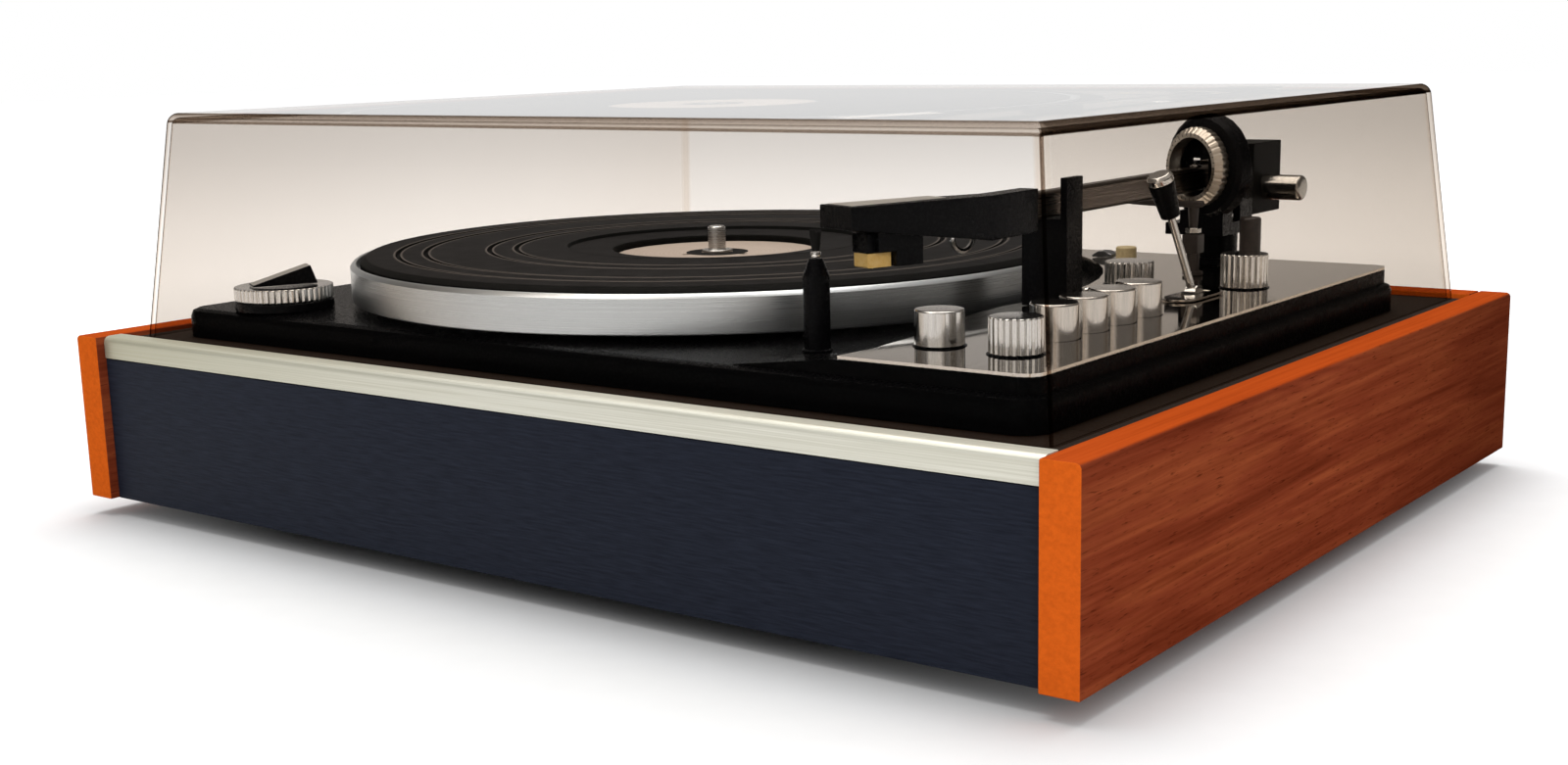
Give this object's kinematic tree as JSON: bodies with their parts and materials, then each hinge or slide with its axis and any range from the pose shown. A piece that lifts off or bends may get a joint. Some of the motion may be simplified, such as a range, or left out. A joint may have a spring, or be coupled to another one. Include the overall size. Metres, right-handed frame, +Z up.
{
  "type": "record changer",
  "caption": "Record changer on a veneered plinth: platter with ribbed mat, gimbal tone arm on its rest, polished control plate with knobs and push buttons, clear lift-off dust cover.",
  "frame": {"origin": "on the floor under the middle of the plinth's outer box", "axes": "+X along the longest side to the right, +Y to the back, +Z up"},
  "size_m": [0.438, 0.362, 0.155],
  "materials": {
    "walnut_veneer": "satin",
    "front_paint": "satin",
    "trim_aluminium": "satin",
    "board": "matte",
    "foot_rubber": "matte",
    "clear_acrylic": "gloss",
    "deck_black": "gloss",
    "control_aluminium": "polished",
    "rim_aluminium": "brushed",
    "mat_rubber": "matte",
    "disc_aluminium": "satin",
    "polished_steel": "polished",
    "knob_aluminium": "polished",
    "black_plastic": "gloss",
    "weight_black": "satin",
    "arm_aluminium": "satin",
    "dial_silver": "satin",
    "stylus_plastic": "satin",
    "mechanism_grey": "satin",
    "machined_steel": "satin",
    "bristle_fibre": "matte",
    "cream_plastic": "matte"
  },
  "bodies": {
    "root": {"side_panel_left": "walnut_veneer", "side_panel_right": "walnut_veneer", "front_panel": "front_paint", "back_panel": "walnut_veneer", "front_trim": "trim_aluminium", "ledge_front": "board", "ledge_rear": "board", "ledge_left": "board", "ledge_right": "board", "base_board": "board", "foot_front_left": "foot_rubber", "foot_front_right": "foot_rubber", "foot_rear_left": "foot_rubber", "foot_rear_right": "foot_rubber", "unit_plate": "deck_black", "control_plate": "control_aluminium", "main_bearing": "machined_steel", "motor": "machined_steel", "speed_base": "black_plastic", "cue_slot_plate": "control_aluminium", "brush_post": "black_plastic", "brush_ferrule": "knob_aluminium", "brush_bristles": "bristle_fibre", "arm_rest": "black_plastic", "arm_pillar": "black_plastic", "lift_block": "mechanism_grey", "damper_post": "mechanism_grey", "transit_screw": "cream_plastic", "transit_clip": "machined_steel"},
    "cover": {"dust_cover": "clear_acrylic"},
    "platter": {"platter": "rim_aluminium", "platter_mat": "mat_rubber", "centre_disc": "disc_aluminium", "spindle": "polished_steel"},
    "idler": {"idler_wheel": "foot_rubber"},
    "pulley": {"motor_pulley": "polished_steel"},
    "gimbal": {"gimbal_frame": "black_plastic"},
    "arm": {"arm_bar": "arm_aluminium", "headshell": "black_plastic", "cartridge": "black_plastic", "stylus_holder": "stylus_plastic", "headshell_latch": "polished_steel", "counterweight": "weight_black"},
    "dial": {"force_dial": "dial_silver"},
    "thumb": {"thumb_screw": "polished_steel"},
    "cue": {"cue_lever": "polished_steel", "cue_grip": "black_plastic", "cue_cap": "knob_aluminium"},
    "lift": {"lift_rail": "polished_steel"},
    "speed_knob": {"speed_ring": "knob_aluminium", "speed_pointer": "black_plastic"},
    "plain_knob": {"knob_plain": "knob_aluminium"},
    "front_knob": {"knob_front": "knob_aluminium"},
    "inner_knob": {"knob_inner": "knob_aluminium"},
    "rear_knob": {"knob_rear": "knob_aluminium"},
    "button_1": {"push_button_1": "knob_aluminium"},
    "button_2": {"push_button_2": "knob_aluminium"},
    "button_3": {"push_button_3": "knob_aluminium"},
    "button_4": {"push_button_4": "knob_aluminium"}
  },
  "joints": [
    {"name": "cover_lift", "type": "slide", "parent": "root", "child": "cover", "axis": [0, 0, 1], "range_m": [0, 0.1]},
    {"name": "platter_spin", "type": "hinge", "parent": "root", "child": "platter", "pos_m": [-0.039, -0.007, 0.0985], "axis": [0, 0, 1], "continuous": true},
    {"name": "idler_spin", "type": "hinge", "parent": "root", "child": "idler", "pos_m": [0.02908, -0.10423, 0.0834], "axis": [0, 0, 1], "continuous": true},
    {"name": "pulley_spin", "type": "hinge", "parent": "root", "child": "pulley", "pos_m": [0.00531, -0.09558, 0.0882], "axis": [0, 0, 1], "continuous": true},
    {"name": "arm_swing", "type": "hinge", "parent": "root", "child": "gimbal", "pos_m": [0.1252, 0.1075, 0.099], "axis": [0, 0, -1], "range_deg": [0, 36]},
    {"name": "arm_lift", "type": "hinge", "parent": "gimbal", "child": "arm", "pos_m": [0.1252, 0.1075, 0.1211], "axis": [-1, 0, 0], "range_deg": [0, 5]},
    {"name": "force_dial_turn", "type": "hinge", "parent": "gimbal", "child": "dial", "pos_m": [0.1257, 0.079, 0.1259], "axis": [0.342, 0.9397, 0], "range_deg": [-60, 240]},
    {"name": "thumb_screw_turn", "type": "hinge", "parent": "arm", "child": "thumb", "pos_m": [0.1252, 0.124, 0.1154], "axis": [1, 0, 0], "range_deg": [-180, 180]},
    {"name": "cue_lever_tip", "type": "hinge", "parent": "root", "child": "cue", "pos_m": [0.1577, 0.0155, 0.086], "axis": [-1, 0, 0], "range_deg": [0, 46]},
    {"name": "lift_rise", "type": "slide", "parent": "root", "child": "lift", "axis": [0, 0, 1], "range_m": [0, 0.002]},
    {"name": "speed_turn", "type": "hinge", "parent": "root", "child": "speed_knob", "pos_m": [-0.151, -0.134, 0.08], "axis": [0, 0, 1], "range_deg": [-40, 40]},
    {"name": "knob_plain_turn", "type": "hinge", "parent": "root", "child": "plain_knob", "pos_m": [0.1375, -0.1192, 0.086], "axis": [0, 0, 1], "range_deg": [-140, 140]},
    {"name": "knob_front_turn", "type": "hinge", "parent": "root", "child": "front_knob", "pos_m": [0.1652, -0.1212, 0.086], "axis": [0, 0, 1], "range_deg": [-140, 140]},
    {"name": "knob_inner_turn", "type": "hinge", "parent": "root", "child": "inner_knob", "pos_m": [0.123, 0.0345, 0.086], "axis": [0, 0, 1], "range_deg": [-140, 140]},
    {"name": "knob_rear_turn", "type": "hinge", "parent": "root", "child": "rear_knob", "pos_m": [0.164, 0.044, 0.086], "axis": [0, 0, 1], "range_deg": [-140, 140]},
    {"name": "button_1_press", "type": "slide", "parent": "root", "child": "button_1", "axis": [0, 0, -1], "range_m": [0, 0.003], "stiffness_N_per_m": 400},
    {"name": "button_2_press", "type": "slide", "parent": "root", "child": "button_2", "axis": [0, 0, -1], "range_m": [0, 0.003], "stiffness_N_per_m": 400},
    {"name": "button_3_press", "type": "slide", "parent": "root", "child": "button_3", "axis": [0, 0, -1], "range_m": [0, 0.003], "stiffness_N_per_m": 400},
    {"name": "button_4_press", "type": "slide", "parent": "root", "child": "button_4", "axis": [0, 0, -1], "range_m": [0, 0.003], "stiffness_N_per_m": 400}
  ],
  "couplings": [
    {"joint": "idler_spin", "follows": "platter_spin", "ratio": 6.6667},
    {"joint": "pulley_spin", "follows": "platter_spin", "ratio": -35},
    {"joint": "lift_rise", "follows": "cue_lever_tip", "m_per_rad": 0.0024911}
  ]
}
